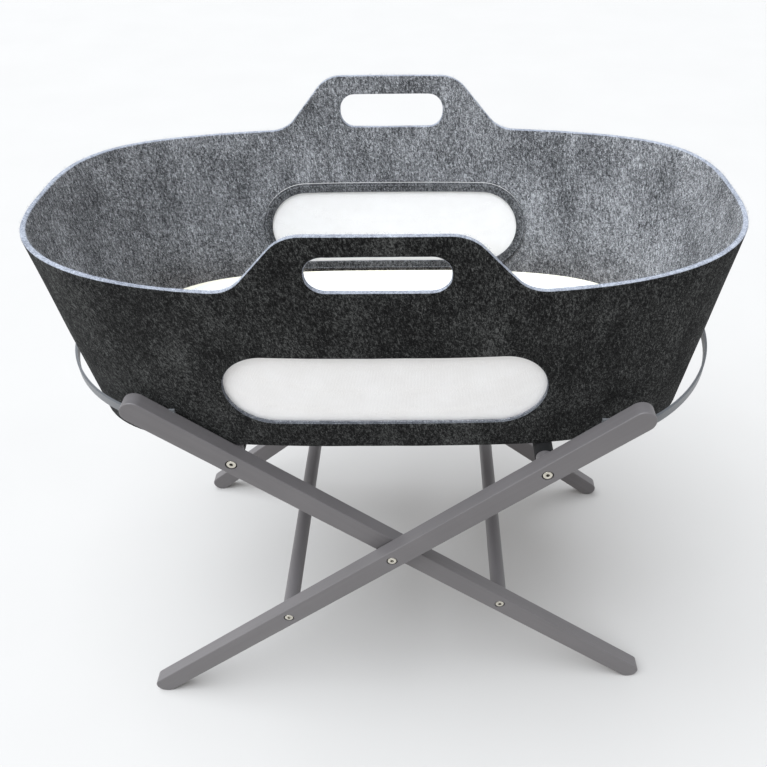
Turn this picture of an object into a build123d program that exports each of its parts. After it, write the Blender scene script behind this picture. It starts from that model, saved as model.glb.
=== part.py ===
"""Bassinet on a folding stand: a felt carrying basket that rests on two dowels of a wooden X frame.

Frame: +X along the basket, +Y to the rear long side, +Z up, origin on the floor under the pivots.
The stand is two leg frames that turn on a pair of pivot bolts. The inner frame carries the left
end hoop and the outer frame the right one.
"""
import os
from math import cos, pi, radians, sin, tan

from build123d import *

# ---------------------------------------------------------------- driving sizes, in millimetres
# Stand
bar_height = 30.0
bar_thickness = 20.0
bar_slope = 40.0
bar_edge_round = 1.5
bar_gap = 2.6
upper_leg = 396.0
lower_leg = 494.0
foot_flat_depth = 0.8
dowel_diameter = 22.0
upper_dowel_reach = 250.0
lower_dowel_reach = 198.0
sleeve_thickness = 1.0
sleeve_end_gap = 12.0
pivot_washer_thickness = 1.0
pivot_washer_diameter = 18.0

# End hoops
hoop_strip_height = 12.0
hoop_strip_thickness = 3.0
hoop_end_gap = 24.8
hoop_reach = 354.5
hoop_leg_tail = 21.5
hoop_groove_depth = 2.0
hoop_corner_radius = 55.0
inner_hoop_straight = 23.0
outer_hoop_straight = 34.0
hoop_screw_head = 6.0
hoop_screw_head_height = 1.5
hoop_screw_shank = 3.0
hoop_screw_length = 14.0
hoop_screw_pitch = 15.0

# Frame bolts
bolt_shank = 6.0
bolt_head_diameter = 12.0
bolt_head_height = 3.0
bolt_head_sink = 0.5
bolt_head_round = 0.7
bolt_recess_diameter = 15.0
bolt_socket_across_flats = 4.5
bolt_socket_depth = 2.0
bolt_thread_engagement = 16.0
insert_diameter = 10.0
insert_length = 20.0
pivot_insert_length = 14.0
dowel_bolt_clearance = 0.25

# Felt basket
rim_length = 840.0
rim_width = 446.0
base_length = 768.0
base_width = 376.0
rim_roundness = 2.75
base_roundness = 3.5
wall_height = 240.0
rim_end_rise = 8.5
felt_thickness = 6.0
handle_rise = 71.0
handle_top_width = 180.0
handle_foot_width = 304.0
handle_bend_radius = 45.0
slot_width = 145.0
slot_height = 44.0
slot_corner_radius = 20.0
slot_top_margin = 24.0
window_length = 370.0
window_height = 108.0
window_bottom = 43.0
window_overlap = 13.0
mesh_thickness = 1.0
ring_thickness = 2.5
board_thickness = 4.0

# Mattress
mattress_end_gap = 22.0
mattress_side_gap = 19.0
mattress_roundness = 3.2
mattress_thickness = 34.0
mattress_edge_radius = 8.0
cover_thickness = 1.5

# Limit straps
strap_width = 25.0
strap_thickness = 1.5
strap_offset = 95.0
strap_tail = 14.0
strap_side_gap = 2.0
strap_screw_head = 9.0
strap_screw_head_height = 2.0
strap_screw_shank = 3.0
strap_screw_length = 12.0

# Fits
pivot_clearance = 0.05
frame_side_clearance = 0.1
rest_clearance = 0.3
board_clearance = 0.5
foam_clearance = 0.2
trim_allowance = 12.0
screw_clearance = 0.2

# ---------------------------------------------------------------- places that follow
slope = radians(bar_slope)
bar_end_radius = bar_height / 2
foot_drop = (lower_leg - bar_end_radius) * sin(slope) + bar_end_radius
pivot_height = foot_drop - foot_flat_depth
bar_tip_z = pivot_height + (upper_leg - bar_end_radius) * sin(slope) + bar_end_radius
upper_dowel_x = upper_dowel_reach * cos(slope)
upper_dowel_z = pivot_height + upper_dowel_reach * sin(slope)
sleeve_radius = dowel_diameter / 2 + sleeve_thickness
base_z = upper_dowel_z + sleeve_radius + rest_clearance
board_z = base_z + felt_thickness
mattress_z = board_z + board_thickness + rest_clearance
mattress_length = base_length - 2 * (felt_thickness + mattress_end_gap)
mattress_width = base_width - 2 * (felt_thickness + mattress_side_gap)
handle_height = wall_height + handle_rise
slot_bottom = handle_height - slot_top_margin - slot_height


def across_basket(base_size, rim_size, z):
    """The basket's outside length or width at a height."""
    return base_size + (rim_size - base_size) * (z - base_z) / wall_height


def basket_half_width(x, z):
    """The basket's outside half width at a height, x mm from its middle."""
    share = (z - base_z) / (handle_height + trim_allowance)
    roundness = base_roundness + (rim_roundness - base_roundness) * share
    length = across_basket(base_length, rim_length, z)
    width = across_basket(base_width, rim_width, z)
    return width / 2 * (1 - (2 * x / length) ** roundness) ** (1 / roundness)


def leg_edge_x(z):
    """X of a leg's upper edge at a height."""
    return (z - pivot_height) / tan(slope) - bar_height / 2 / sin(slope)


# The bars pass outside the basket, from its base up to their round tips.
levels_passed = [base_z + step * (bar_tip_z - bar_end_radius - base_z) / 6 for step in range(7)]
inner_inner_face = bar_gap + max(basket_half_width(leg_edge_x(z), z) for z in levels_passed)
inner_outer_face = inner_inner_face + bar_thickness
outer_inner_face = inner_outer_face + pivot_washer_thickness + frame_side_clearance
outer_face = outer_inner_face + bar_thickness
hoop_middle_x = hoop_reach * cos(slope)
hoop_height = pivot_height + hoop_reach * sin(slope)
hoop_half_length = (across_basket(base_length, rim_length, hoop_height) / 2
                    + hoop_end_gap + hoop_strip_thickness)
hoop_leg_start = hoop_middle_x - hoop_leg_tail
bolt_head_depth = bolt_head_height + bolt_head_sink
strap_top_z = upper_dowel_z - dowel_diameter / 2
far = max(rim_length, base_length)

os.makedirs("parts", exist_ok=True)


def finish(block, label):
    """Label a finished piece and write it out under its own name."""
    assert block.part.volume > 0, f"{label} came out empty"
    block.part.label = label
    export_step(block.part, f"parts/{label}.step")


def oval_points(length, width, roundness, steps=48):
    """Points of an oval: an exponent of 2 is an ellipse, and a larger one has flatter sides."""
    points = []
    for step in range(steps):
        angle = 2 * pi * step / steps
        across = abs(2 * cos(angle) / length) ** roundness
        along = abs(2 * sin(angle) / width) ** roundness
        radius = (across + along) ** (-1 / roundness)
        points.append((radius * cos(angle), radius * sin(angle)))
    return points


def tapered_oval(inset):
    """Solid inside the basket wall's outer face, moved in by an inset, to just over the handles."""
    top_z = base_z + handle_height + trim_allowance
    top_length = across_basket(base_length, rim_length, top_z)
    top_width = across_basket(base_width, rim_width, top_z)
    with BuildPart() as envelope:
        with BuildSketch(Plane.XY.offset(base_z)):
            with BuildLine():
                Spline(*oval_points(base_length - 2 * inset, base_width - 2 * inset, base_roundness),
                       periodic=True)
            make_face()
        with BuildSketch(Plane.XY.offset(top_z)):
            with BuildLine():
                Spline(*oval_points(top_length - 2 * inset, top_width - 2 * inset, rim_roundness),
                       periodic=True)
            make_face()
        loft(ruled=True)
    return envelope.part


def bar_plane(direction, face_y):
    """Plane on a bar's face: local x runs up the leg from the pivot, the normal is -Y."""
    along = (direction * cos(slope), 0, sin(slope))
    return Plane(origin=(0, face_y, pivot_height), x_dir=along, z_dir=(0, -1, 0))


def side_plane(x, y, z, side):
    """Plane whose normal points out of the stand's front (side -1) or rear (side +1)."""
    return Plane(origin=(x, y, z), x_dir=(1, 0, 0), z_dir=(0, side, 0))


# ================================================================ stand
# The inner frame's legs climb to -X, the outer frame's to +X.
frames = {
    "inner": {"direction": -1, "face": inner_outer_face, "hoop_straight": inner_hoop_straight},
    "outer": {"direction": 1, "face": outer_face, "hoop_straight": outer_hoop_straight},
}
bolt_spots = {"upper": upper_dowel_reach, "lower": -lower_dowel_reach}


def leg_point(direction, reach):
    """X and Z of a point on a leg's centre line, reach mm up from the pivot."""
    return direction * reach * cos(slope), pivot_height + reach * sin(slope)


def bolt_group(spots, seat, shank_length):
    """Socket head bolts as separate solids; a spot is x, z and side, and seat is the seats' |y|."""
    with BuildPart() as group:
        for x, z, side in spots:
            with BuildSketch(side_plane(x, side * seat, z, side)):
                Circle(bolt_head_diameter / 2)
            extrude(amount=bolt_head_height)
        rims = group.edges().filter_by(GeomType.CIRCLE)
        fillet(rims.filter_by(lambda edge: abs(edge.center().Y) > seat + bolt_head_height / 2),
               bolt_head_round)
        for x, z, side in spots:
            with BuildSketch(side_plane(x, side * seat, z, side)):
                Circle(bolt_shank / 2)
            extrude(amount=-shank_length)
            with BuildSketch(side_plane(x, side * (seat + bolt_head_height), z, side)):
                RegularPolygon(bolt_socket_across_flats / 2, 6, major_radius=False)
            extrude(amount=-bolt_socket_depth, mode=Mode.SUBTRACT)
    return group


def insert_group(spots, mouth, length):
    """Threaded inserts as plain tubes; a spot is x, z and side, and mouth is the mouths' |y|."""
    with BuildPart() as group:
        for x, z, side in spots:
            with BuildSketch(side_plane(x, side * mouth, z, side)):
                Circle(insert_diameter / 2)
                Circle(bolt_shank / 2, mode=Mode.SUBTRACT)
            extrude(amount=-length)
    return group


def strap_screw_group(x):
    """Two pan head screws that hold the limit straps up against the underside of a dowel."""
    with BuildPart() as group:
        for y in (-strap_offset, strap_offset):
            with BuildSketch(Plane.XY.offset(strap_top_z - strap_thickness)):
                with Locations((x, y)):
                    Circle(strap_screw_head / 2)
            extrude(amount=-strap_screw_head_height)
            with BuildSketch(Plane.XY.offset(strap_top_z - strap_thickness)):
                with Locations((x, y)):
                    Circle(strap_screw_shank / 2)
            extrude(amount=strap_screw_length)
    return group


for frame_name, frame in frames.items():
    direction = frame["direction"]
    bar_outer = frame["face"]
    bar_inner = bar_outer - bar_thickness
    hoop_face = bar_inner + hoop_groove_depth
    hoop_bow = hoop_half_length - hoop_middle_x - frame["hoop_straight"]
    hoop_radius = (hoop_bow ** 2 + hoop_face ** 2) / (2 * hoop_bow)
    hoop_plane = Plane(origin=(0, 0, hoop_height - hoop_strip_height / 2), x_dir=(direction, 0, 0),
                       z_dir=(0, 0, direction))

    # Two countersunk screws hold each leg of the hoop, driven from inside the stand.
    with BuildPart() as hoop_screws:
        for side in (-1, 1):
            for screw_x in (hoop_middle_x - hoop_screw_pitch / 2, hoop_middle_x + hoop_screw_pitch / 2):
                head_y = side * (hoop_face - hoop_strip_thickness)
                with Locations(side_plane(direction * screw_x, head_y, hoop_height, -side)):
                    Cone(hoop_screw_shank / 2, hoop_screw_head / 2, hoop_screw_head_height,
                         align=(Align.CENTER, Align.CENTER, Align.MAX))
                    Cylinder(hoop_screw_shank / 2, hoop_screw_length,
                             align=(Align.CENTER, Align.CENTER, Align.MAX))
    finish(hoop_screws, f"{frame_name}_hoop_screws")

    # The hoop is one flat steel strip bent round the basket's end, with its legs let into the bars.
    with BuildPart() as hoop:
        with BuildSketch(hoop_plane):
            with Locations((hoop_leg_start - hoop_strip_thickness, 0)):
                Rectangle(far, 2 * hoop_face, align=(Align.MIN, Align.CENTER))
            with Locations((hoop_half_length - hoop_radius, 0)):
                Circle(hoop_radius, mode=Mode.INTERSECT)
            fillet(vertices().sort_by(Axis.X)[-2:], hoop_corner_radius)
            offset(amount=-hoop_strip_thickness, mode=Mode.SUBTRACT)
            with Locations((hoop_leg_start, 0)):
                Rectangle(far, far, align=(Align.MAX, Align.CENTER), mode=Mode.SUBTRACT)
        extrude(amount=direction * hoop_strip_height)
        add(hoop_screws.part, mode=Mode.SUBTRACT)
    finish(hoop, f"{frame_name}_hoop")

    # A leg bar is a straight lath with round ends and a small flat where it stands.
    for side_name, side in (("front", -1), ("rear", 1)):
        with BuildPart() as bar:
            with BuildSketch(bar_plane(direction, side * bar_outer)):
                with Locations(((upper_leg - lower_leg) / 2, 0)):
                    SlotOverall(upper_leg + lower_leg, bar_height)
            extrude(amount=side * bar_thickness)
            fillet(bar.faces().filter_by(Axis.Y).edges(), bar_edge_round)
            with BuildSketch(Plane.XY):
                Rectangle(2 * far, 2 * far)
            extrude(amount=-far, mode=Mode.SUBTRACT)
            for reach in bolt_spots.values():
                x, z = leg_point(direction, reach)
                with Locations(side_plane(x, side * bar_outer, z, side)):
                    CounterBoreHole(bolt_shank / 2 + dowel_bolt_clearance, bolt_recess_diameter / 2,
                                    bolt_head_depth, bar_thickness)
            with Locations(side_plane(0, side * bar_outer, pivot_height, side)):
                if frame_name == "outer":
                    CounterBoreHole(bolt_shank / 2 + pivot_clearance, bolt_recess_diameter / 2,
                                    bolt_head_depth, bar_thickness)
                else:
                    Hole(insert_diameter / 2, pivot_insert_length)
            # The hoop's leg lies in a level groove across the bar's inner face.
            groove_middle = direction * (hoop_leg_start + far / 2)
            with Locations((groove_middle, side * (hoop_face - hoop_strip_thickness / 2), hoop_height)):
                Box(far, hoop_strip_thickness, hoop_strip_height, mode=Mode.SUBTRACT)
            add(hoop_screws.part, mode=Mode.SUBTRACT)
        finish(bar, f"{frame_name}_bar_{side_name}")

    # Two round dowels hold each pair of bars apart; each end takes a threaded insert.
    strap_screws = strap_screw_group(direction * upper_dowel_x)
    finish(strap_screws, f"{frame_name}_strap_screws")
    for level, reach in bolt_spots.items():
        x, z = leg_point(direction, reach)
        with BuildPart() as dowel:
            with BuildSketch(Plane.XZ.offset(-bar_inner)):
                with Locations((x, z)):
                    Circle(dowel_diameter / 2)
            extrude(amount=2 * bar_inner)
            for side in (-1, 1):
                with Locations(side_plane(x, side * bar_inner, z, side)):
                    Hole(insert_diameter / 2, insert_length)
            if level == "upper":
                add(strap_screws.part, mode=Mode.SUBTRACT)
        finish(dowel, f"{frame_name}_{level}_dowel")

    spots = [leg_point(direction, reach) + (side,) for reach in bolt_spots.values() for side in (-1, 1)]
    seat = bar_outer - bolt_head_depth
    shank = bar_thickness - bolt_head_depth + bolt_thread_engagement
    finish(bolt_group(spots, seat, shank), f"{frame_name}_dowel_bolts")
    finish(insert_group(spots, bar_inner, insert_length), f"{frame_name}_dowel_inserts")

    # A rubber sleeve on the upper dowel stops the basket sliding; it is left out at the straps.
    x, z = leg_point(direction, upper_dowel_reach)
    with BuildPart() as sleeve:
        with BuildSketch(Plane.XZ.offset(-(bar_inner - sleeve_end_gap))):
            with Locations((x, z)):
                Circle(sleeve_radius)
                Circle(dowel_diameter / 2, mode=Mode.SUBTRACT)
        extrude(amount=2 * (bar_inner - sleeve_end_gap))
        with Locations((x, -strap_offset, z), (x, strap_offset, z)):
            Box(2 * dowel_diameter, strap_width + 2 * strap_side_gap, 2 * dowel_diameter, mode=Mode.SUBTRACT)
    finish(sleeve, f"{frame_name}_dowel_sleeves")

# ---------------------------------------------------------------- pivots between the frames
# Each bolt turns freely in the outer bar and is screwed into the insert in the inner bar.
pivot_seat = outer_face - bolt_head_depth + frame_side_clearance
pivot_shank = pivot_seat - inner_outer_face + pivot_insert_length
pivot_spots = [(0, pivot_height, side) for side in (-1, 1)]
finish(bolt_group(pivot_spots, pivot_seat, pivot_shank), "pivot_bolts")
finish(insert_group(pivot_spots, inner_outer_face, pivot_insert_length), "pivot_inserts")

with BuildPart() as pivot_washers:
    for side in (-1, 1):
        with BuildSketch(side_plane(0, side * inner_outer_face, pivot_height, side)):
            Circle(pivot_washer_diameter / 2)
            Circle(bolt_shank / 2, mode=Mode.SUBTRACT)
        extrude(amount=pivot_washer_thickness)
finish(pivot_washers, "pivot_washers")

# ---------------------------------------------------------------- limit straps
# Webbing under the two upper dowels stops the X from opening any further.
strap_length = 2 * (upper_dowel_x + strap_tail)
for side_name, side in (("front", -1), ("rear", 1)):
    with BuildPart() as strap:
        with BuildSketch(Plane.XY.offset(strap_top_z)):
            with Locations((0, side * strap_offset)):
                Rectangle(strap_length, strap_width)
            with Locations((-upper_dowel_x, side * strap_offset), (upper_dowel_x, side * strap_offset)):
                Circle(strap_screw_shank / 2 + screw_clearance, mode=Mode.SUBTRACT)
        extrude(amount=-strap_thickness)
    finish(strap, f"limit_strap_{side_name}")

# ================================================================ basket
wall_outside = tapered_oval(0)
wall_inside = tapered_oval(felt_thickness)
mesh_inside = tapered_oval(felt_thickness + mesh_thickness)
ring_inside = tapered_oval(felt_thickness + mesh_thickness + ring_thickness)
rim_z = base_z + wall_height
window_z = base_z + window_bottom + window_height / 2
slot_z = base_z + slot_bottom + slot_height / 2

# The wall is one band of thick felt; its two long sides rise into handles with a hand slot each.
with BuildPart() as felt_wall:
    add(wall_outside)
    add(wall_inside, mode=Mode.SUBTRACT)
    with BuildSketch(Plane.XZ):
        with BuildLine():
            shoulder = handle_foot_width / 2 + handle_bend_radius
            lip = rim_length / 2
            right_rim = TangentArc((shoulder, rim_z), (lip, rim_z + rim_end_rise), tangent=(1, 0))
            right_end = Line(right_rim @ 1, (far, (right_rim @ 1).Y))
            Polyline(right_end @ 1, (far, 0), (-far, 0), (-far, rim_z + rim_end_rise),
                     (-lip, rim_z + rim_end_rise))
            TangentArc((-shoulder, rim_z), (-lip, rim_z + rim_end_rise), tangent=(-1, 0))
            Polyline((-shoulder, rim_z), (-handle_foot_width / 2, rim_z),
                     (-handle_top_width / 2, base_z + handle_height),
                     (handle_top_width / 2, base_z + handle_height),
                     (handle_foot_width / 2, rim_z), (shoulder, rim_z))
        make_face()
        bends = vertices().filter_by(lambda v: abs(v.X) < shoulder - 1 and v.Y > 1)
        fillet(bends, handle_bend_radius)
        with Locations((0, slot_z)):
            RectangleRounded(slot_width, slot_height, slot_corner_radius, mode=Mode.SUBTRACT)
        with Locations((0, window_z)):
            SlotOverall(window_length, window_height, mode=Mode.SUBTRACT)
    extrude(amount=far, both=True, mode=Mode.INTERSECT)
finish(felt_wall, "felt_wall")

with BuildPart() as felt_base:
    with BuildSketch(Plane.XY.offset(base_z)):
        Rectangle(2 * far, 2 * far)
    extrude(amount=felt_thickness)
    add(wall_inside, mode=Mode.INTERSECT)
finish(felt_base, "felt_base")

# A thin stiff board lies loose on the felt base and carries the mattress.
board_inset = 2 * (felt_thickness + board_clearance)
with BuildPart() as base_board:
    with BuildSketch(Plane.XY.offset(board_z)):
        with BuildLine():
            Spline(*oval_points(base_length - board_inset, base_width - board_inset, base_roundness),
                   periodic=True)
        make_face()
    extrude(amount=board_thickness)
finish(base_board, "base_board")

# Each window is a sheet of mesh held against the inside of the wall by a felt ring.
for side_name, side in (("front", -1), ("rear", 1)):
    with BuildPart() as window_mesh:
        with BuildSketch(Plane.XZ):
            with Locations((0, window_z)):
                SlotOverall(window_length + 2 * window_overlap, window_height + 2 * window_overlap)
        extrude(amount=-side * far)
        add(wall_inside, mode=Mode.INTERSECT)
        add(mesh_inside, mode=Mode.SUBTRACT)
    finish(window_mesh, f"window_mesh_{side_name}")

    with BuildPart() as window_ring:
        with BuildSketch(Plane.XZ):
            with Locations((0, window_z)):
                SlotOverall(window_length + 2 * window_overlap, window_height + 2 * window_overlap)
                SlotOverall(window_length, window_height, mode=Mode.SUBTRACT)
        extrude(amount=-side * far)
        add(mesh_inside, mode=Mode.INTERSECT)
        add(ring_inside, mode=Mode.SUBTRACT)
    finish(window_ring, f"window_ring_{side_name}")


# ================================================================ mattress
def mattress_block(inset):
    """The mattress's closed outline, moved in by an inset on every side."""
    with BuildPart() as block:
        with BuildSketch(Plane.XY.offset(mattress_z + inset)):
            with BuildLine():
                Spline(*oval_points(mattress_length - 2 * inset, mattress_width - 2 * inset,
                                    mattress_roundness), periodic=True)
            make_face()
        extrude(amount=mattress_thickness - 2 * inset)
        fillet(block.faces().filter_by(Axis.Z).edges(), mattress_edge_radius - inset)
    return block


with BuildPart() as mattress_cover:
    add(mattress_block(0).part)
    add(mattress_block(cover_thickness).part, mode=Mode.SUBTRACT)
finish(mattress_cover, "mattress_cover")

finish(mattress_block(cover_thickness + foam_clearance), "mattress_foam")
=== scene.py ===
from math import cos, hypot, pi, radians, sin, tan
from random import Random

import bpy
from mathutils import Matrix, Vector


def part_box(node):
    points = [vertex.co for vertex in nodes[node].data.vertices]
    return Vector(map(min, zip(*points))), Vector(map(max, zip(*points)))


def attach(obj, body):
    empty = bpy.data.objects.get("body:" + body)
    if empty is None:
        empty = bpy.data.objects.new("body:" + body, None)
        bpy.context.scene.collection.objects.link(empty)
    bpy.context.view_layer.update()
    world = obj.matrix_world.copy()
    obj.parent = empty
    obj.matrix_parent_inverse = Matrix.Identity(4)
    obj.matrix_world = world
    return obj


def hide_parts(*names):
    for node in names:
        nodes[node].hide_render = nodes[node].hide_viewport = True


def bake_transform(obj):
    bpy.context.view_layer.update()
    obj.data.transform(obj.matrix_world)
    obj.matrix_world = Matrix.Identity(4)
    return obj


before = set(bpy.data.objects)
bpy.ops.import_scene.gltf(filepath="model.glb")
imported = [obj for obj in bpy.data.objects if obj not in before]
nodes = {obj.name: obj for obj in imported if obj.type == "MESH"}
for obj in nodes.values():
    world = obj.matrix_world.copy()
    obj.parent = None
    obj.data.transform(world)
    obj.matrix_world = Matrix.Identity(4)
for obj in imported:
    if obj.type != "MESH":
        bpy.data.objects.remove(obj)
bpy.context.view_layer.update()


# ---- Camera and studio --------------------------------------------------------------------------
# A plain pale floor under a white sky. A broad cool light comes from above on the left and a weak
# one from the left side, and the camera looks down on the basket from the front long side.
MM = 0.001
camera_spot = Vector((46.1, -875.0, 1153.3)) * MM
camera_yaw = -0.0037
camera_pitch = 0.6859
camera_roll = -0.0083
sensor_width = 36.0
lens_length = 36.3286
lens_shift = (-0.052151, 0.002477)
floor_side = 40.0

camera_data = bpy.data.cameras.new("camera")
camera = bpy.data.objects.new("camera", camera_data)
bpy.context.scene.collection.objects.link(camera)
bpy.context.scene.camera = camera
camera_data.sensor_width = sensor_width
camera_data.lens = lens_length
camera_data.shift_x, camera_data.shift_y = lens_shift
camera_data.clip_start = 0.01
bpy.context.scene.view_settings.view_transform = "Standard"
turn = Matrix.Rotation(-camera_yaw, 4, "Z") @ Matrix.Rotation(pi / 2 - camera_pitch, 4, "X")
camera.matrix_world = Matrix.Translation(camera_spot) @ turn @ Matrix.Rotation(camera_roll, 4, "Z")

bpy.ops.mesh.primitive_plane_add(size=floor_side, location=(0, 0, -0.0005))
floor = bpy.context.object
floor.name = "floor"

world = bpy.data.worlds.new("studio")
bpy.context.scene.world = world
world.use_nodes = True
world.node_tree.nodes["Background"].inputs["Color"].default_value = (0.97, 0.98, 1.0, 1.0)
world.node_tree.nodes["Background"].inputs["Strength"].default_value = 0.60


sun_spread = radians(64)


def soft_sun(name, towards, power, colour):
    """A broad soft light that comes evenly from far away in one direction."""
    data = bpy.data.lights.new(name, "SUN")
    data.angle = sun_spread
    data.energy = power
    data.color = colour
    lamp = bpy.data.objects.new(name, data)
    bpy.context.scene.collection.objects.link(lamp)
    lamp.matrix_world = Vector(towards).to_track_quat("Z", "Y").to_matrix().to_4x4()


soft_sun("sky_light", (-0.28, -0.16, 1.0), 5.0, (0.89, 0.945, 1.0))
soft_sun("left_fill", (-1.0, -0.15, 0.25), 0.55, (1.0, 0.97, 0.94))


# ---- Painted leg bars and dowels ----------------------------------------------------------------
# Beech laths with round ends, sprayed a warm mid grey. The paint is thin enough that a little of
# the grain shows along each bar, and painted shade makes it near black down in the bolts' drilled
# recesses.
class Value:
    """A shader socket that takes Python arithmetic; each step adds a Math node."""

    def __init__(self, tree, socket):
        self.tree = tree
        self.socket = socket

    def math(self, operation, *others):
        node = self.tree.nodes.new("ShaderNodeMath")
        node.operation = operation
        for slot_in, operand in zip(node.inputs, others):
            if isinstance(operand, Value):
                self.tree.links.new(operand.socket, slot_in)
            else:
                slot_in.default_value = operand
        return Value(self.tree, node.outputs[0])

    def __add__(self, other):
        return self.math("ADD", self, other)

    def __radd__(self, other):
        return self.math("ADD", other, self)

    def __sub__(self, other):
        return self.math("SUBTRACT", self, other)

    def __rsub__(self, other):
        return self.math("SUBTRACT", other, self)

    def __mul__(self, other):
        return self.math("MULTIPLY", self, other)

    def __rmul__(self, other):
        return self.math("MULTIPLY", other, self)

    def clamp(self):
        return self.math("MINIMUM", self.math("MAXIMUM", self, 0.0), 1.0)


class Finish:
    """A material with a Principled shader, and one method that adds any other node."""

    def __init__(self, name, roughness, metallic=0.0, **constants):
        self.material = bpy.data.materials.new(name)
        self.material.use_nodes = True
        self.tree = self.material.node_tree
        self.shader = self.tree.nodes["Principled BSDF"]
        self.shader.inputs["Roughness"].default_value = roughness
        self.shader.inputs["Metallic"].default_value = metallic
        for name_in, constant in constants.items():
            self.shader.inputs[name_in.replace("_", " ")].default_value = constant
        self.coordinates = self.node("ShaderNodeTexCoord", "Object")

    def node(self, kind, output, settings=None, **inputs):
        """A node of that kind; its settings are made first, then its sockets. Returns one output."""
        made = self.tree.nodes.new(kind)
        for key, setting in (settings or {}).items():
            if key == "stops":
                ramp = made.color_ramp
                while len(ramp.elements) < len(setting):
                    ramp.elements.new(0.5)
                for element, (place, colour) in zip(ramp.elements, setting):
                    element.position = place
                    element.color = (*colour, 1.0)
            else:
                setattr(made, key, setting)
        for key, source in inputs.items():
            socket = made.inputs[int(key[1:])] if key[0] == "i" and key[1:].isdigit() else made.inputs[key]
            if isinstance(source, Value):
                self.tree.links.new(source.socket, socket)
            else:
                socket.default_value = source
        return Value(self.tree, made.outputs[output])

    def placed(self, scale, turn_to=(0, 0, 0)):
        """The piece's own coordinates, turned and then scaled."""
        turned = self.node("ShaderNodeMapping", "Vector", Vector=self.coordinates, Rotation=turn_to)
        return self.node("ShaderNodeMapping", "Vector", Vector=turned, Scale=scale)

    def noise(self, vector, scale, detail=4.0, roughness=0.6, distortion=0.0):
        return self.node("ShaderNodeTexNoise", "Fac", Vector=vector, Scale=scale, Detail=detail,
                         Roughness=roughness, Distortion=distortion)

    def ramp(self, fac, *stops):
        return self.node("ShaderNodeValToRGB", "Color", {"stops": stops}, Fac=fac)

    def mix(self, fac, first, second):
        """Colour mix: sockets 6 and 7 are the Mix node's two colours."""
        return self.node("ShaderNodeMix", 2, {"data_type": "RGBA"}, i0=fac, i6=first, i7=second)

    def near_spots(self, spots, radius):
        """1 within a radius, in mm, of any axis across the stand through a spot (x, z)."""
        level = self.placed((1, 0, 1))
        inside = 0.0
        for x, z in spots:
            away = self.node("ShaderNodeVectorMath", "Value", {"operation": "DISTANCE"}, i0=level,
                             i1=(x, 0, z))
            inside = away.math("LESS_THAN", away, radius * MM) + inside
        return inside.clamp()

    def colour(self, source):
        self.tree.links.new(source.socket, self.shader.inputs["Base Color"])

    def roughness(self, source):
        self.tree.links.new(source.socket, self.shader.inputs["Roughness"])

    def bump(self, height, distance, strength=1.0):
        normal = self.node("ShaderNodeBump", "Normal", Height=height, Distance=distance,
                           Strength=strength)
        self.tree.links.new(normal.socket, self.shader.inputs["Normal"])


def give(node_name, finish):
    """Puts one finish on a CAD node."""
    slots = nodes[node_name].data.materials
    slots.clear()
    slots.append(finish.material)


bar_slope = radians(40.0)
bolt_head_radius = 6.0
recess_radius = 7.4


def bolt_spots(node_name, climbs_right):
    """X and z of the two bolt axes of a leg frame, from the box of its bolts."""
    low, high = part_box(node_name)
    rim = bolt_head_radius * MM
    left, right, bottom, top = low.x + rim, high.x - rim, low.z + rim, high.z - rim
    return [(left, bottom), (right, top)] if climbs_right else [(left, top), (right, bottom)]


pivot_low, pivot_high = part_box("pivot_bolts")
pivot_spot = ((pivot_low.x + pivot_high.x) / 2, (pivot_low.z + pivot_high.z) / 2)
right_climbing_spots = bolt_spots("outer_dowel_bolts", True)
left_climbing_spots = bolt_spots("inner_dowel_bolts", False)


def stand_paint(name, grain_turn, recesses=()):
    """Satin grey paint whose faint grain runs along a piece turned that way, with painted shade in the
    bolt recesses given.
    """
    paint = Finish(name, 0.4, Specular_IOR_Level=0.5)
    grain = paint.noise(paint.placed((4.0, 130.0, 130.0), grain_turn), 1.0, 6.0, 0.65, 0.3)
    patches = paint.noise(paint.placed((1, 1, 1)), 9.0, 3.0)
    speck = paint.noise(paint.placed((1, 1, 1)), 900.0, 2.0)
    tone = (grain * 0.5 + patches * 0.5).clamp()
    shade = paint.ramp(tone, (0.3, (0.118, 0.110, 0.112)), (0.7, (0.146, 0.136, 0.138)))
    # Painted shade: the paint goes near black inside each bolt's drilled recess, where shade falls.
    if recesses:
        shade = paint.mix(paint.near_spots(recesses, recess_radius), shade, (0.02, 0.018, 0.017, 1.0))
    paint.colour(shade)
    paint.roughness(0.34 + patches * 0.14)
    paint.bump(grain * 0.6 + speck * 0.25, 0.00018, 0.5)
    return paint


paint_up_right = stand_paint("paint_outer_bars", (0, bar_slope, 0), [*right_climbing_spots, pivot_spot])
paint_up_left = stand_paint("paint_inner_bars", (0, -bar_slope, 0), left_climbing_spots)
paint_across = stand_paint("paint_dowels", (0, 0, pi / 2))
for side_name in ("front", "rear"):
    give(f"outer_bar_{side_name}", paint_up_right)
    give(f"inner_bar_{side_name}", paint_up_left)
for frame_name in ("inner", "outer"):
    for level in ("upper", "lower"):
        give(f"{frame_name}_{level}_dowel", paint_across)


# ---- End hoops ----------------------------------------------------------------------------------
# One flat steel strip each, bent in a U round the basket's end and powder coated mid grey.
coat = Finish("hoop_coat", 0.38, Specular_IOR_Level=0.5)
coat_speck = coat.noise(coat.placed((1, 1, 1)), 1400.0, 2.0)
coat_cloud = coat.noise(coat.placed((1, 1, 1)), 14.0, 3.0)
coat.colour(coat.ramp(coat_cloud, (0.3, (0.115, 0.120, 0.128)), (0.7, (0.155, 0.160, 0.168))))
coat.roughness(0.32 + coat_cloud * 0.14)
coat.bump(coat_speck, 0.00008, 0.6)
for frame_name in ("inner", "outer"):
    give(f"{frame_name}_hoop", coat)


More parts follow.
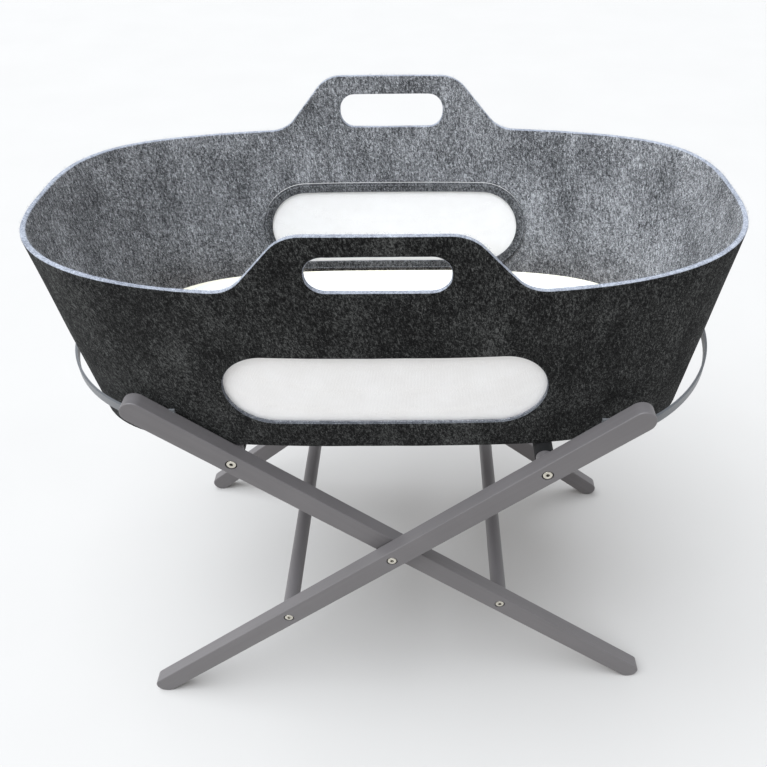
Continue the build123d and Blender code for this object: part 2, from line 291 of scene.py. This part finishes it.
# ---- Bolts, screws, inserts and washers ---------------------------------------------------------
# Nickel plated socket head bolts sit just below the face in drilled recesses. The inserts are
# brass, the washers between the bars are black nylon and the small screws are zinc plated.
socket_radius = 2.25


def plated(name, dark, light, roughness, sockets=()):
    """A plated metal with fine turning marks, cloudy wear and painted shade down in its hex sockets."""
    metal = Finish(name, roughness, 1.0)
    marks = metal.noise(metal.placed((1, 1, 1)), 2600.0, 2.0)
    cloud = metal.noise(metal.placed((1, 1, 1)), 240.0, 3.0)
    shade = metal.ramp(cloud, (0.3, dark), (0.7, light))
    # Painted shade: near black inside each hex socket, where shade falls.
    if sockets:
        shade = metal.mix(metal.near_spots(sockets, socket_radius), shade, (0.015, 0.014, 0.012, 1.0))
    metal.colour(shade)
    metal.roughness(roughness - 0.06 + cloud * 0.14)
    metal.bump(marks, 0.00004, 0.5)
    return metal


nickel_tones = ((0.50, 0.47, 0.40), (0.74, 0.71, 0.63), 0.28)
zinc = plated("zinc_plate", (0.48, 0.49, 0.50), (0.68, 0.69, 0.70), 0.34)
brass = plated("insert_brass", (0.58, 0.42, 0.17), (0.80, 0.62, 0.30), 0.32)
nylon = Finish("washer_nylon", 0.5)
nylon_cloud = nylon.noise(nylon.placed((1, 1, 1)), 300.0, 3.0)
nylon.colour(nylon.ramp(nylon_cloud, (0.3, (0.02, 0.02, 0.02)), (0.7, (0.04, 0.04, 0.04))))
give("inner_dowel_bolts", plated("nickel_inner_bolts", *nickel_tones, left_climbing_spots))
give("outer_dowel_bolts", plated("nickel_outer_bolts", *nickel_tones, right_climbing_spots))
give("pivot_bolts", plated("nickel_pivot_bolts", *nickel_tones, [pivot_spot]))
for frame_name in ("inner", "outer"):
    give(f"{frame_name}_hoop_screws", zinc)
    give(f"{frame_name}_strap_screws", zinc)
    give(f"{frame_name}_dowel_inserts", brass)
give("pivot_inserts", brass)
give("pivot_washers", nylon)


# ---- Rubber sleeves -----------------------------------------------------------------------------
# Thin matt black rubber pulled over each upper dowel keeps the basket from sliding.
rubber = Finish("sleeve_rubber", 0.78, Specular_IOR_Level=0.3)
rubber_speck = rubber.noise(rubber.placed((1, 1, 1)), 1100.0, 3.0)
rubber.colour(rubber.ramp(rubber_speck, (0.3, (0.006, 0.006, 0.006)), (0.8, (0.018, 0.018, 0.019))))
rubber.bump(rubber_speck, 0.00015, 0.6)
for frame_name in ("inner", "outer"):
    give(f"{frame_name}_dowel_sleeves", rubber)


# ---- Felt wall ----------------------------------------------------------------------------------
# A band of pressed felt 6 mm thick, cut flat with its handles, hand slots and windows, then bent
# round the oval base so that it leans outwards. The cut edges stay soft. With painted light, the
# outside is a darker, shaded copy of the same felt as the lit inside, and the cut edges are painted
# paler, partly for their fuzz and partly as painted highlight where they face the sky.
felt_low, felt_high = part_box("felt_wall")
base_z = felt_low.z
wall_height = 240.0
handle_height = (felt_high.z - felt_low.z) / MM
base_size = (768.0, 376.0)
rim_size = (840.0, 446.0)
trim_height = handle_height + 12.0
base_roundness = 3.5
top_roundness = 2.75
felt_thickness = 6.0
long_side = 240.0
end_run = 330.0
rim_shoulder = 197.0
rim_end_rise = 8.5
soft_edge = 1.3
smooth_angle = radians(50)


def oval_point(angle, size, roundness):
    """The point of an oval at that polar angle."""
    reach = (abs(2 * cos(angle) / size[0]) ** roundness
             + abs(2 * sin(angle) / size[1]) ** roundness) ** (-1 / roundness)
    return reach * cos(angle), reach * sin(angle)


def oval_outline(size, roundness, steps=96):
    """Closed outline of an oval in mm."""
    return [oval_point(2 * pi * step / steps, size, roundness) for step in range(steps)]


def wall_point(angle, height, inset):
    """A point of the leaning wall: its polar angle, height over the base and depth from outside."""
    rise = trim_height / wall_height
    top_size = [base + (rim - base) * rise for base, rim in zip(base_size, rim_size)]
    low = oval_point(angle, [side - 2 * inset for side in base_size], base_roundness)
    high = oval_point(angle, [side - 2 * inset for side in top_size], top_roundness)
    share = height / trim_height
    return low[0] + (high[0] - low[0]) * share, low[1] + (high[1] - low[1]) * share


def angle_at(x, height, inset):
    """The polar angle between 0 and 90 degrees where the wall is x mm from the middle."""
    least, most = 0.0, pi / 2
    for _ in range(22):
        middle = (least + most) / 2
        if wall_point(middle, height, inset)[0] > x:
            least = middle
        else:
            most = middle
    return (least + most) / 2


def bend_to_wall(piece, side, outer_inset, thickness):
    """Bends a flat piece onto the wall. Flat x runs along the wall from the middle of the long
    side, flat y is the height over the base, and flat z, centred, is the depth through the felt."""
    for vertex in piece.data.vertices:
        along, height, through = [c / MM for c in vertex.co]
        inset = outer_inset + thickness / 2 - through
        if abs(along) <= long_side:
            angle = angle_at(abs(along), height, inset)
        else:
            left_over = 1.0 - (abs(along) - long_side) / end_run
            angle = angle_at(long_side, height, inset) * max(left_over, 0.0)
        x, y = wall_point(angle, height, inset)
        if x > rim_shoulder:
            lift = rim_end_rise * ((x - rim_shoulder) / (rim_size[0] / 2 - rim_shoulder)) ** 2
            height += lift * max(0.0, (height - 120.0) / (wall_height - 120.0))
        vertex.co = (x * MM if along > 0 else -x * MM, side * y * MM, base_z + height * MM)


def rounded(corners, steps=8):
    """A closed outline from (x, y, radius) corners, each rounded by an arc."""
    points = []
    for index, (x, y, radius) in enumerate(corners):
        here = Vector((x, y))
        before = (Vector(corners[index - 1][:2]) - here).normalized()
        after = (Vector(corners[(index + 1) % len(corners)][:2]) - here).normalized()
        if radius == 0:
            points.append((x, y))
            continue
        half = before.angle(after) / 2
        centre = here + (before + after).normalized() * radius / sin(half)
        start = here + before * radius / tan(half) - centre
        sweep = start.angle_signed(here + after * radius / tan(half) - centre)
        for step in range(steps + 1):
            turned = start.copy()
            turned.rotate(Matrix.Rotation(-sweep * step / steps, 2))
            points.append(tuple(centre + turned))
    return points


def box_corners(width, height, middle_y, radius):
    """The four corners of a box centred on x = 0, with the same rounding."""
    x, low, high = width / 2, middle_y - height / 2, middle_y + height / 2
    return [(-x, low, radius), (x, low, radius), (x, high, radius), (-x, high, radius)]


def mesh_from_curve(name, curve):
    """Makes an object of a curve and turns it into a mesh."""
    bpy.ops.object.select_all(action="DESELECT")
    piece = bpy.data.objects.new(name, curve)
    bpy.context.scene.collection.objects.link(piece)
    bpy.context.view_layer.objects.active = piece
    piece.select_set(True)
    bpy.ops.object.convert(target="MESH")
    return bpy.context.object


def join_halves(halves, name):
    """Joins the front and rear half of a piece into one object."""
    bpy.ops.object.select_all(action="DESELECT")
    for half in halves:
        half.select_set(True)
    bpy.context.view_layer.objects.active = halves[0]
    bpy.ops.object.join()
    joined = bpy.context.object
    joined.name = name
    return joined


def weld(distance):
    """Merges the active mesh's points that lie closer than that and turns its faces outwards."""
    bpy.ops.object.mode_set(mode="EDIT")
    bpy.ops.mesh.select_all(action="SELECT")
    bpy.ops.mesh.remove_doubles(threshold=distance)
    bpy.ops.mesh.normals_make_consistent(inside=False)
    bpy.ops.object.mode_set(mode="OBJECT")


def flat_cut(name, outlines, thickness, edge):
    """A flat piece in the xy plane cut to outlines in mm, inner ones being holes, with soft edges."""
    curve = bpy.data.curves.new(name, "CURVE")
    curve.dimensions = "2D"
    curve.fill_mode = "BOTH"
    curve.extrude = (thickness / 2 - edge) * MM
    curve.bevel_depth = edge * MM
    curve.bevel_resolution = 2
    curve.offset = -edge * MM
    for outline in outlines:
        spline = curve.splines.new("POLY")
        spline.points.add(len(outline) - 1)
        for point, (x, y) in zip(spline.points, outline):
            point.co = (x * MM, y * MM, 0.0, 1.0)
        spline.use_cyclic_u = True
    piece = mesh_from_curve(name, curve)
    weld(0.00001)
    return piece


def mark_cut_edge(piece):
    """How pale each face is, set while the piece is flat: 1 on the rim's cut edge, which faces the sky,
    less on the window's edges, which lie in shade, and 0 on the two faces. The paleness is partly the
    fuzz of the cut felt and partly painted highlight."""
    edge_value = piece.data.attributes.new("cut_edge", "FLOAT", "FACE")
    for index, face in enumerate(piece.data.polygons):
        height = face.center.y / MM
        pale = 0.35 if 10 < height < wall_height - 40 else 1.0
        edge_value.data[index].value = pale if abs(face.normal.z) < 0.9 else 0.0


def slice_flat(piece, xs, ys, trim_x=None):
    """Cuts a flat piece across at each x and y in mm so that it can bend; trims it at plus and
    minus trim_x."""
    bpy.ops.object.mode_set(mode="EDIT")
    cuts = [((x * MM, 0, 0), (1, 0, 0)) for x in xs] + [((0, y * MM, 0), (0, 1, 0)) for y in ys]
    for point, normal in cuts:
        bpy.ops.mesh.select_all(action="SELECT")
        bpy.ops.mesh.bisect(plane_co=point, plane_no=normal)
    if trim_x:
        for sign in (-1, 1):
            bpy.ops.mesh.select_all(action="SELECT")
            bpy.ops.mesh.bisect(plane_co=(sign * trim_x * MM, 0, 0), plane_no=(sign, 0, 0),
                                clear_outer=True)
    bpy.ops.object.mode_set(mode="OBJECT")


def mark_depth(piece):
    """A point value of 0 on the outside of the felt and 1 on the inside."""
    depth = piece.data.attributes.new("depth", "FLOAT", "POINT")
    for index, vertex in enumerate(piece.data.vertices):
        depth.data[index].value = 0.5 - vertex.co.z / (felt_thickness * MM)


handle_top, handle_foot, handle_bend = 90.0, 152.0, 45.0
slot_corners = box_corners(145.0, 44.0, 265.0, 20.0)
window_size = (370.0, 108.0)
window_middle = 97.0
half_band = long_side + end_run
band_outline = rounded([
    (-half_band - 20, 0, 0), (half_band + 20, 0, 0), (half_band + 20, wall_height, 0),
    (handle_foot, wall_height, handle_bend), (handle_top, handle_height, handle_bend),
    (-handle_top, handle_height, handle_bend), (-handle_foot, wall_height, handle_bend),
    (-half_band - 20, wall_height, 0)])
window_outline = rounded(box_corners(*window_size, window_middle, window_size[1] / 2 - 0.01), 20)
halves = []
for side in (-1, 1):
    half = flat_cut(f"felt_half_{side}", [band_outline, rounded(slot_corners), window_outline],
                    felt_thickness, soft_edge)
    along = [-half_band + step * half_band / 48 for step in range(1, 96)]
    slice_flat(half, along, [16 * step for step in range(1, 19)], half_band)
    mark_cut_edge(half)
    mark_depth(half)
    bend_to_wall(half, side, 0.0, felt_thickness)
    halves.append(half)
wall = join_halves(halves, "felt_band")
weld(0.0002)
bpy.ops.object.shade_smooth_by_angle(angle=smooth_angle)


def shape_by(piece, kind, **settings):
    """Adds a modifier of that kind to the active piece and applies it."""
    modifier = piece.modifiers.new(kind.lower(), kind)
    for key, setting in settings.items():
        setattr(modifier, key, setting)
    bpy.ops.object.modifier_apply(modifier=modifier.name)


def ripple(piece, size, strength):
    """Makes a piece a little uneven, in waves about that size in metres."""
    waves = bpy.data.textures.new(f"{piece.name}_waves", "CLOUDS")
    waves.noise_scale = size
    waves.noise_depth = 2
    shape_by(piece, "DISPLACE", texture=waves, texture_coords="LOCAL", strength=strength, mid_level=0.5)


ripple(wall, 0.07, 0.0012)


def felt(name, shade, with_painted_light):
    """Pressed wool felt: matted fibres that run mostly up and down, paler ones over dark ones."""
    wool = Finish(name, 0.96, Specular_IOR_Level=0.1, Sheen_Weight=0.02, Sheen_Roughness=0.6)
    tufts = wool.noise(wool.placed((1.0, 1.0, 0.38), (0.15, 0.1, 0)), 400.0, 5.0, 0.8, 0.8)
    fibres = wool.noise(wool.placed((1.0, 1.0, 0.22), (-0.25, 0.2, 0)), 900.0, 4.0, 0.8, 1.2)
    crossed = wool.noise(wool.placed((0.35, 0.35, 1.0), (0.3, -0.4, 0)), 700.0, 4.0, 0.75, 1.2)
    clouds = wool.noise(wool.placed((1, 1, 0.5)), 22.0, 3.0)
    tone = (tufts * 1.6 + fibres * 1.6 + crossed * 1.1 + clouds * 0.5 - 1.90).clamp()
    inside = [(0.20, (0.024 * shade, 0.025 * shade, 0.027 * shade)),
              (0.50, (0.138 * shade, 0.141 * shade, 0.149 * shade)),
              (0.85, (0.55 * shade, 0.56 * shade, 0.58 * shade))]
    outside = [(0.20, (0.001, 0.001, 0.001)), (0.50, (0.008, 0.008, 0.008)),
               (0.88, (0.110, 0.112, 0.108))]
    body = wool.ramp(tone, *inside)
    # Painted light: the outside of the wall takes a far darker, shaded copy of the felt and the inside a
    # lit one.
    if with_painted_light:
        depth = wool.node("ShaderNodeAttribute", "Fac", {"attribute_name": "depth"})
        cut = wool.node("ShaderNodeAttribute", "Fac", {"attribute_name": "cut_edge"})
        body = wool.mix(depth.math("GREATER_THAN", depth, 0.5), wool.ramp(tone, *outside), body)
        # Painted highlight, partly the real fuzz of cut felt: a paler felt on the cut edges, most on the
        # rim that faces the sky.
        pale = wool.ramp(tone, (0.25, (0.15, 0.16, 0.19)), (0.55, (0.30, 0.32, 0.37)),
                         (0.85, (0.48, 0.51, 0.57)))
        body = wool.mix(cut, body, pale)
    wool.colour(body)
    wool.bump(tufts * 0.5 + fibres * 0.45 + crossed * 0.3, 0.0012, 0.7)
    return wool


wall_felt = felt("wall_felt", 1.0, True)
wall.data.materials.clear()
wall.data.materials.append(wall_felt.material)
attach(wall, "basket")
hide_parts("felt_wall")


def outline_length(points):
    """The length of a closed outline."""
    return sum(hypot(x - points[index - 1][0], y - points[index - 1][1])
               for index, (x, y) in enumerate(points))


def outline_area(points):
    """The area inside a closed outline."""
    return abs(sum(points[index - 1][0] * y - x * points[index - 1][1]
                   for index, (x, y) in enumerate(points))) / 2


middle_size = [(base + rim) / 2 - felt_thickness for base, rim in zip(base_size, rim_size)]
middle_roundness = base_roundness + (top_roundness - base_roundness) * wall_height / 2 / trim_height
middle_lap = outline_length(oval_outline(middle_size, middle_roundness))
handle_area = (handle_top + handle_foot) * (handle_height - wall_height)
hole_area = outline_area(rounded(slot_corners)) + outline_area(window_outline)
(middle_lap * wall_height + 2 * handle_area - 2 * hole_area) * MM * MM

# Loose fibres stand out along the rim where the felt was cut.
fuzz_count = 900
fuzz_radius = 0.07
fuzz_draw = Random(7)
rim_path = [point for point in band_outline if point[1] > wall_height - 1 and abs(point[0]) < half_band]
rim_path = [(half_band - 2.0, wall_height), *rim_path, (2.0 - half_band, wall_height)]
fuzz_halves = []
for side in (-1, 1):
    curve = bpy.data.curves.new(f"rim_fuzz_{side}", "CURVE")
    curve.dimensions = "3D"
    curve.bevel_depth = fuzz_radius * MM
    curve.bevel_resolution = 0
    steps = [Vector(after) - Vector(before) for before, after in zip(rim_path, rim_path[1:])]
    for _ in range(fuzz_count):
        index = fuzz_draw.choices(range(len(steps)), [step.length for step in steps])[0]
        spot = Vector(rim_path[index]) + steps[index] * fuzz_draw.random()
        outward = steps[index].normalized().orthogonal()
        if outward.y < 0 or (outward.y == 0 and outward.x * spot.x < 0):
            outward.negate()
        face = fuzz_draw.choice((-1, 1)) * (felt_thickness / 2 - soft_edge / 2)
        reach = fuzz_draw.uniform(1.2, 3.2)
        lean = fuzz_draw.uniform(-2.5, 2.5)
        spill = fuzz_draw.uniform(-0.2, 1.4) * (1 if face > 0 else -1)
        spline = curve.splines.new("POLY")
        spline.points.add(2)
        for point, share in zip(spline.points, (0.0, 0.55, 1.0)):
            place = spot + outward * (reach * share - 0.9) + steps[index].normalized() * lean * share ** 2
            point.co = (place.x * MM, place.y * MM, (face + spill * share) * MM, 1.0)
    fuzz = mesh_from_curve(f"rim_fuzz_{side}", curve)
    bend_to_wall(fuzz, side, 0.0, felt_thickness)
    fuzz_halves.append(fuzz)
fuzz = join_halves(fuzz_halves, "rim_fuzz")
wool_fibre = Finish("loose_wool", 0.9, Sheen_Weight=0.1)
fibre_tone = wool_fibre.noise(wool_fibre.placed((1, 1, 1)), 90.0, 3.0)
wool_fibre.colour(wool_fibre.ramp(fibre_tone, (0.35, (0.20, 0.21, 0.23)), (0.65, (0.52, 0.54, 0.58))))
fuzz.data.materials.append(wool_fibre.material)
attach(fuzz, "basket")


# ---- Felt base and board ------------------------------------------------------------------------
# An oval of the same felt closes the bottom inside the wall, with a plain hardboard panel on it.
base_size_inside = [side - 2 * felt_thickness for side in base_size]
base = flat_cut("felt_floor", [oval_outline(base_size_inside, base_roundness)], felt_thickness, 0.8)
for vertex in base.data.vertices:
    vertex.co.z += base_z + felt_thickness / 2 * MM
base.data.materials.append(felt("base_felt", 0.8, False).material)
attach(base, "basket")
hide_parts("felt_base")
outline_area(oval_outline(base_size_inside, base_roundness)) * MM * MM

board = Finish("hardboard", 0.6)
board_fibre = board.noise(board.placed((1, 1, 1)), 700.0, 5.0, 0.7, 1.0)
board.colour(board.ramp(board_fibre, (0.3, (0.24, 0.15, 0.08)), (0.7, (0.38, 0.26, 0.15))))
board.bump(board_fibre, 0.0002, 0.5)
give("base_board", board)


# ---- Window mesh --------------------------------------------------------------------------------
# Fine cream netting stretched behind each window, between the wall and its felt ring.
net = Finish("window_net", 0.7, Sheen_Weight=0.15, Specular_IOR_Level=0.2)
net_cells = net.node("ShaderNodeTexVoronoi", "Distance", {"feature": "DISTANCE_TO_EDGE"},
                     Vector=net.placed((1.0, 0.3, 1.0)), Scale=620.0, Randomness=0.25)
net_cloud = net.noise(net.placed((1, 1, 1)), 30.0, 3.0)
net_thread = (net_cells * 6.0).clamp()
net_pale = net.ramp(net_cloud, (0.3, (0.88, 0.86, 0.84)), (0.7, (0.92, 0.905, 0.89)))
net.colour(net.mix(0.25 - net_thread * 0.25, net_pale, (0.68, 0.655, 0.63, 1.0)))
net.bump(1.0 - net_thread, 0.0004, 0.5)
ring_lap = 13.0
mesh_thickness = 1.0
ring_thickness = 2.5
mesh_size = [side + 2 * ring_lap for side in window_size]
mesh_outline = rounded(box_corners(*mesh_size, window_middle, mesh_size[1] / 2 - 0.01), 20)
window_slices = range(-190, 210, 20)
window_levels = range(40, 160, 20)
net_thickness = 0.6
for side_name, side in (("front", -1), ("rear", 1)):
    netting = flat_cut(f"netting_{side_name}", [mesh_outline], net_thickness, 0.1)
    slice_flat(netting, window_slices, window_levels)
    bend_to_wall(netting, side, felt_thickness + 0.1, net_thickness)
    netting.data.materials.append(net.material)
    bpy.ops.object.shade_smooth_by_angle(angle=smooth_angle)
    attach(netting, "basket")
    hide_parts(f"window_mesh_{side_name}")
    outline_area(mesh_outline) * MM * MM


# ---- Window rings and their stitches ------------------------------------------------------------
# A thinner felt ring is sewn over the netting's rim, on the inside, with one row of grey thread.
ring_felt = felt("ring_felt", 0.52, False)
thread = Finish("stitch_thread", 0.75, Sheen_Weight=0.2)
thread_twist = thread.noise(thread.placed((1, 1, 1)), 1500.0, 2.0)
thread.colour(thread.ramp(thread_twist, (0.3, (0.13, 0.135, 0.145)), (0.7, (0.24, 0.25, 0.265))))
stitch_pitch = 5.0
stitch_length = 3.4
stitch_inset = 3.0
stitch_radius = 0.45


def stadium_point(run, size, middle_y):
    """The point of a stadium outline after a run along it, and its heading."""
    radius = size[1] / 2
    straight = size[0] - size[1]
    lap = 2 * straight + 2 * pi * radius
    run = run % lap
    if run < straight:
        return (-straight / 2 + run, middle_y - radius), 0.0
    run -= straight
    if run < pi * radius:
        turned = run / radius
        return (straight / 2 + radius * sin(turned), middle_y - radius * cos(turned)), turned
    run -= pi * radius
    if run < straight:
        return (straight / 2 - run, middle_y + radius), pi
    turned = pi + (run - straight) / radius
    return (-straight / 2 + radius * sin(turned), middle_y - radius * cos(turned)), turned


stitch_size = [side - 2 * stitch_inset for side in mesh_size]
stitch_lap = 2 * (stitch_size[0] - stitch_size[1]) + pi * stitch_size[1]
stitch_count = int(stitch_lap / stitch_pitch)
for side_name, side in (("front", -1), ("rear", 1)):
    ring = flat_cut(f"window_edging_{side_name}", [mesh_outline, window_outline], ring_thickness, 0.7)
    slice_flat(ring, window_slices, window_levels)
    bend_to_wall(ring, side, felt_thickness + mesh_thickness, ring_thickness)
    ring.data.materials.append(ring_felt.material)
    bpy.ops.object.shade_smooth_by_angle(angle=smooth_angle)
    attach(ring, "basket")
    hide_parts(f"window_ring_{side_name}")
    ring_run = (outline_length(mesh_outline) + outline_length(window_outline)) / 2

    curve = bpy.data.curves.new(f"stitches_{side_name}", "CURVE")
    curve.dimensions = "3D"
    curve.bevel_depth = stitch_radius * MM
    curve.bevel_resolution = 0
    curve.use_fill_caps = True
    for stitch in range(stitch_count):
        (x, y), heading = stadium_point(stitch * stitch_lap / stitch_count, stitch_size, window_middle)
        spline = curve.splines.new("POLY")
        spline.points.add(3)
        for point, (share, dip) in zip(spline.points, ((-0.5, 0.5), (-0.3, 0), (0.3, 0), (0.5, 0.5))):
            reach = share * stitch_length
            point.co = ((x + reach * cos(heading)) * MM, (y + reach * sin(heading)) * MM,
                        (-ring_thickness / 2 - 0.15 + dip) * MM, 1.0)
    stitches = mesh_from_curve(f"stitches_{side_name}", curve)
    bend_to_wall(stitches, side, felt_thickness + mesh_thickness, ring_thickness)
    stitches.data.materials.append(thread.material)
    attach(stitches, "basket")


# ---- Mattress -----------------------------------------------------------------------------------
# A foam oval in a fitted white jersey cover. It is crowned, its edge is soft, and the jersey puckers
# a little round the side.
mattress_low, mattress_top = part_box("mattress_cover")
mattress_size = [(mattress_top[axis] - mattress_low[axis]) / MM for axis in range(3)]
pad = flat_cut("mattress_pad", [oval_outline([mattress_size[0] - 2, mattress_size[1] - 2], 3.2)],
               mattress_size[2] - 2, 8.0)
for vertex in pad.data.vertices:
    vertex.co.z += (mattress_low.z + mattress_top.z) / 2
shape_by(pad, "REMESH", mode="VOXEL", voxel_size=0.006)
shape_by(pad, "SMOOTH", iterations=6)
ripple(pad, 0.055, 0.0022)
shape_by(pad, "SUBSURF", levels=1, render_levels=1)
bpy.ops.object.shade_smooth()
jersey = Finish("jersey_cover", 0.88, Sheen_Weight=0.3, Specular_IOR_Level=0.2)
knit = jersey.node("ShaderNodeTexWave", "Fac", {"wave_type": "BANDS", "bands_direction": "X"},
                   Vector=jersey.placed((1, 1, 1)), Scale=260.0, Distortion=1.5, Detail=2.0)
knit_rows = jersey.node("ShaderNodeTexWave", "Fac", {"wave_type": "BANDS", "bands_direction": "Y"},
                        Vector=jersey.placed((1, 1, 1)), Scale=260.0, Distortion=1.5, Detail=2.0)
jersey_cloud = jersey.noise(jersey.placed((1, 1, 1)), 12.0, 4.0)
jersey.colour(jersey.ramp(jersey_cloud, (0.3, (0.74, 0.74, 0.74)), (0.7, (0.80, 0.80, 0.80))))
jersey.bump(knit * 0.5 + knit_rows * 0.5, 0.0002, 0.4)
pad.data.materials.append(jersey.material)
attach(pad, "mattress")
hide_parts("mattress_cover")
foam = Finish("foam", 0.9)
foam_cells = foam.noise(foam.placed((1, 1, 1)), 900.0, 3.0)
foam.colour(foam.ramp(foam_cells, (0.3, (0.80, 0.76, 0.60)), (0.7, (0.90, 0.87, 0.74))))
foam.bump(foam_cells, 0.0004, 0.6)
give("mattress_foam", foam)


# ---- Limit straps -------------------------------------------------------------------------------
# Black webbing screwed up under both upper dowels. It is drawn flat and tight, as it is when the
# stand is open; folded, the real strap hangs slack between the dowels.
webbing = Finish("strap_webbing", 0.7, Sheen_Weight=0.1)
weave = webbing.node("ShaderNodeTexWave", "Fac", {"wave_type": "BANDS", "bands_direction": "DIAGONAL"},
                     Vector=webbing.placed((1, 1, 0)), Scale=210.0, Distortion=0.4)
webbing.colour(webbing.ramp(weave, (0.2, (0.012, 0.012, 0.013)), (0.8, (0.045, 0.045, 0.048))))
webbing.bump(weave, 0.0004, 0.7)
for side_name in ("front", "rear"):
    low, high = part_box(f"limit_strap_{side_name}")
    half_long, half_wide = (high.x - low.x) / 2 / MM, (high.y - low.y) / 2 / MM
    strap = flat_cut(f"strap_{side_name}", [rounded(box_corners(2 * half_long, 2 * half_wide, 0.0, 4.0))],
                     (high.z - low.z) / MM, 0.4)
    slice_flat(strap, [-half_long + 12 * step for step in range(1, 34)], [-8, 0, 8])
    for vertex in strap.data.vertices:
        vertex.co += Vector((0, (low.y + high.y) / 2, (low.z + high.z) / 2))
    strap.data.materials.append(webbing.material)
    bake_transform(strap)
    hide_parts(f"limit_strap_{side_name}")


# ---- Floor finish -------------------------------------------------------------------------------
# Matt pale grey with faint clouds in it, a little warm against the cool light. In that light it
# comes out nearly white.
ground = Finish("floor_white", 0.85)
ground_cloud = ground.noise(ground.placed((1, 1, 1)), 3.0, 2.0)
ground.colour(ground.ramp(ground_cloud, (0.3, (0.475, 0.460, 0.445)), (0.7, (0.485, 0.470, 0.455))))
floor.data.materials.append(ground.material)
